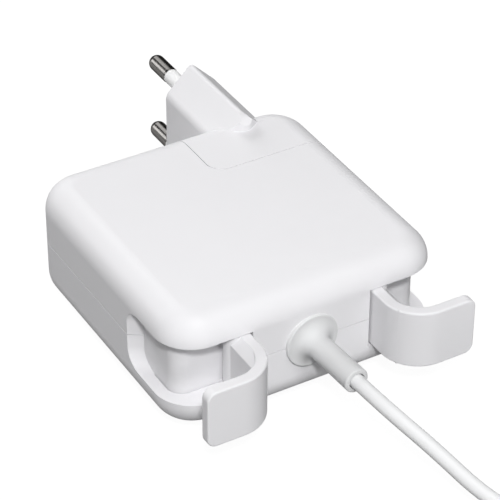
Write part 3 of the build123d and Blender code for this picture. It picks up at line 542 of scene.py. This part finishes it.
def grip_rubber():
    """The boot's rubber, with fine ribs round the connector's grip."""
    material, tree, shader = moulded(
        "grip_rubber", RUBBER, roughness=0.5, grain=6000, depth=2.0 * MICRON, shade=0.95)
    relief(tree, shader, bands(tree, even(GRIP_RIBS), "Y"), GRIP_RIB_DEPTH)
    return material


def cable_jacket():
    """Smooth extruded jacket: fine pitting, and a faint waviness of its surface and gloss."""
    material, tree, shader = moulded(
        "cable_jacket", CABLE_WHITE, roughness=0.46, grain=5000, depth=2.0 * MICRON, shade=0.96)
    relief(tree, shader, noise(tree, even(JACKET_WAVES), detail=4.0), JACKET_WAVE_DEPTH)
    return material


def tie_fabric():
    """Woven strap: two crossing sets of fine threads, with loose fibres over both."""
    material, tree, shader = new_material("tie_fabric", Sheen_Weight=0.3, Specular_IOR_Level=0.2)
    fibres = noise(tree, even(FIBRE_CELLS), detail=4.0)
    slanted = bands(tree, even(SLANTED_THREADS), "DIAGONAL")
    level = bands(tree, even(LEVEL_THREADS), "Y")
    weave = combined(tree, "MULTIPLY", slanted, level)
    tree.links.new(shades(tree, weave, STRAP_DARK, STRAP_PALE, 0, 0.8), shader.inputs["Base Color"])
    tree.links.new(spread(tree, fibres, 0.7, 0.95), shader.inputs["Roughness"])
    relief(tree, shader, weave, THREAD_DEPTH)
    relief(tree, shader, fibres, FIBRE_DEPTH)
    return material


cord.data.materials.append(cable_jacket())
paint(grip_rubber(), "dc_plug_grip")
paint(tie_fabric(), "cable_tie")

# ------------------------------------------------------------------ plain metals and mouldings
# Each metal: name, colour, roughness, streaks, depth of the streaks, pieces
METALS = [
    ("contact_metal", BRASS, 0.3, DRAWN_Y, 1.5 * MICRON,
     ("socket_contacts", "plug_links", "dc_plug_contact", "input_leads")),
    ("steel", STEEL, 0.3, even(3000), 2.0 * MICRON,
     ("retention_stud", "stud_rail", "right_hinge_pin", "left_hinge_pin")),
    ("aluminium_plate", ALUMINIUM, 0.35, ROLLED, 3.0 * MICRON,
     ("primary_heat_spreader", "output_heat_spreader")),
]
# Each moulding: name, colour, roughness, grain, depth of the grain, darkest shade, pieces
MOULDINGS = [
    ("boot_rubber", RUBBER, 0.55, 6000, 2.0 * MICRON, 0.95, ("strain_relief",)),
    ("sleeve_plastic", SLEEVE_WHITE, 0.45, 7000, 1.0 * MICRON, 0.97,
     ("pin_sleeve_lower", "pin_sleeve_upper")),
    ("inlet_plastic", (0.78, 0.785, 0.79), 0.4, 8000, 2.0 * MICRON, 0.97, ("inlet_block",)),
    ("black_moulding", BLACK, 0.5, 6000, 3 * MICRON, 0.8,
     ("transformer_bobbin", "cable_anchor", "dc_plug_insulator")),
    ("film_capacitor", (0.72, 0.56, 0.12), 0.42, 5000, 3 * MICRON, 0.9, ("filter_capacitor",)),
    ("disc_capacitor", (0.05, 0.16, 0.42), 0.38, 3500, 5 * MICRON, 0.85, ("safety_capacitor",)),
    ("lead_insulation", (0.6, 0.05, 0.04), 0.42, 5000, 3 * MICRON, 0.9, ("output_leads",)),
]

for *look, pieces in METALS:
    paint(drawn_metal(*look)[0], *pieces)
for *look, pieces in MOULDINGS:
    paint(moulded(*look)[0], *pieces)
# The pins' grazing reflections are tinted dark: a painted dark rim
nickel = drawn_metal(
    "nickel_pin", NICKEL, roughness=0.25, scales=DRAWN_Y, depth=0.1 * MICRON, Specular_Tint=PAINTED_DARK_RIM)
paint(nickel[0], "mains_pin_upper", "mains_pin_lower", "inlet_pins", "dc_plug_barrel")

# ------------------------------------------------------------------ electronics
LEG_LENGTHS = {
    "bridge_rectifier": 1.8 * MM,
    "switching_transistor": 2.8 * MM,
    "output_rectifier": 2.8 * MM,
}
CAN_RIM = 0.25 * MM
FUSE_CAP = 2.0 * MM
EPOXY_GRAIN = 5000
PALEST_EPOXY = 2.2
TRACKS_PER_METRE = 420
TRACK_WIDTH = 0.09
TRACK_HEIGHT = 35 * MICRON
SOLDER_MASK_CELLS = 900
CREASE_CELLS = (120, 90, 120)
CREASE_DEPTH = 60 * MICRON
SPECKLE_CELLS = (400, 4500, 4500)
SPECKLE_DEPTH = 4 * MICRON
BOARD_GREEN, TRACK_GREEN = (0.012, 0.085, 0.04), (0.03, 0.19, 0.08)
FILM = (0.72, 0.7, 0.6)
FERRITE = (0.07, 0.068, 0.066)
TAPE = (0.75, 0.56, 0.12)
SLEEVE_BLACK = (0.035, 0.04, 0.06)
CERAMIC = (0.82, 0.79, 0.7)
TAPE_TURNS = 650
TAPE_STEP = 45 * MICRON
WIRE_TURNS = 56
ENAMEL_CELLS = 2000
WIRE_DEPTH = 250 * MICRON
WIRE_SHADOW, WIRE_COPPER = (0.2, 0.06, 0.02), (0.75, 0.3, 0.12)


def black_device(name):
    """Black epoxy body on tinned legs."""
    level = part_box(name)[0].z + LEG_LENGTHS[name]
    material, tree, shader = drawn_metal(
        "black_moulding_" + name, TINNED, roughness=0.3, scales=DRAWN_Z, depth=2 * MICRON)
    body = beyond(tree, "Z", level)
    grain = noise(tree, even(EPOXY_GRAIN), detail=3.0)
    epoxy = shades(tree, grain, BLACK, tinted(BLACK, PALEST_EPOXY))
    cover(tree, shader, body, epoxy, spread(tree, grain, 0.55, 0.7))
    tree.links.new(spread(tree, body, 1, 0, 0, 1), shader.inputs["Metallic"])
    return material


def printed_board():
    """Green solder mask over copper tracks that show as slightly raised, lighter lines."""
    material, tree, shader = new_material("board", Coat_Weight=0.3)
    tracks = tree.nodes.new("ShaderNodeTexBrick")
    tracks.inputs["Scale"].default_value = 1.0
    tracks.inputs["Mortar Size"].default_value = TRACK_WIDTH
    for socket, grey in (("Color1", 0), ("Color2", 0.15), ("Mortar", 1)):
        tracks.inputs[socket].default_value = (grey, grey, grey, 1)
    tree.links.new(stretched(tree, even(TRACKS_PER_METRE)), tracks.inputs["Vector"])
    lines = tracks.outputs["Color"]
    tree.links.new(shades(tree, lines, BOARD_GREEN, TRACK_GREEN, 0, 1), shader.inputs["Base Color"])
    gloss = spread(tree, noise(tree, even(SOLDER_MASK_CELLS), detail=4.0), 0.3, 0.42)
    tree.links.new(gloss, shader.inputs["Roughness"])
    relief(tree, shader, lines, TRACK_HEIGHT)
    return material


def insulating_film():
    """Milky film with shallow creases."""
    material, tree, shader = moulded(
        "insulator_film", FILM, roughness=0.3, grain=2500, depth=4 * MICRON, shade=0.93)
    relief(tree, shader, noise(tree, CREASE_CELLS, detail=3.0), CREASE_DEPTH)
    return material


def ferrite():
    """Pressed grey-black ceramic with a coarse speckle and ground faces."""
    material, tree, shader = moulded(
        "ferrite", FERRITE, roughness=0.62, grain=7000, depth=8 * MICRON, shade=0.6)
    relief(tree, shader, noise(tree, SPECKLE_CELLS, detail=4.0), SPECKLE_DEPTH)
    return material


def wound_tape():
    """Yellow polyester tape in overlapping turns."""
    material, tree, shader = moulded(
        "winding_tape", TAPE, roughness=0.28, grain=3000, depth=3 * MICRON, shade=0.85)
    relief(tree, shader, bands(tree, even(TAPE_TURNS), "Z", "SAW"), TAPE_STEP)
    return material


def enamelled_wire():
    """Copper turns that fan out round the choke's ring."""
    low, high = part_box("choke_winding")
    material, tree, shader = new_material("enamel_wire", Metallic=0.85, Coat_Weight=0.5)
    turns = round_the_ring(tree, (low + high) / 2, WIRE_TURNS)
    tree.links.new(shades(tree, turns, WIRE_SHADOW, WIRE_COPPER, 0, 1), shader.inputs["Base Color"])
    gloss = spread(tree, noise(tree, even(ENAMEL_CELLS)), 0.22, 0.36)
    tree.links.new(gloss, shader.inputs["Roughness"])
    relief(tree, shader, turns, WIRE_DEPTH)
    return material


def capacitor_can(name, axis):
    """Dark shrink sleeve on an aluminium can whose bare end shows past the sleeve's rim."""
    level = getattr(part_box(name)[1], axis.lower()) - CAN_RIM
    sleeve = moulded(
        "capacitor_can_" + name, SLEEVE_BLACK, roughness=0.32, grain=2500, depth=5 * MICRON, shade=0.7)
    return metal_where(beyond(sleeve[1], axis, level), sleeve, ALUMINIUM, 0.3)


def fuse_body():
    """Ceramic tube between two pressed metal caps."""
    low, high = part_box("fuse")
    middle = (low.x + high.x) / 2
    tube = moulded("fuse_tube", CERAMIC, roughness=0.4, grain=4000, depth=3 * MICRON)
    caps = both_ends(tube[1], "X", middle, high.x - middle - FUSE_CAP)
    return metal_where(caps, tube, TINNED, 0.3)


for device in LEG_LENGTHS:
    paint(black_device(device), device)
paint(printed_board(), "circuit_board")
paint(insulating_film(), "board_insulator")
paint(ferrite(), "transformer_core", "choke_core")
paint(wound_tape(), "transformer_winding")
paint(enamelled_wire(), "choke_winding")
paint(capacitor_can("input_capacitor", "X"), "input_capacitor")
paint(capacitor_can("output_capacitors", "Z"), "output_capacitors")
paint(fuse_body(), "fuse")
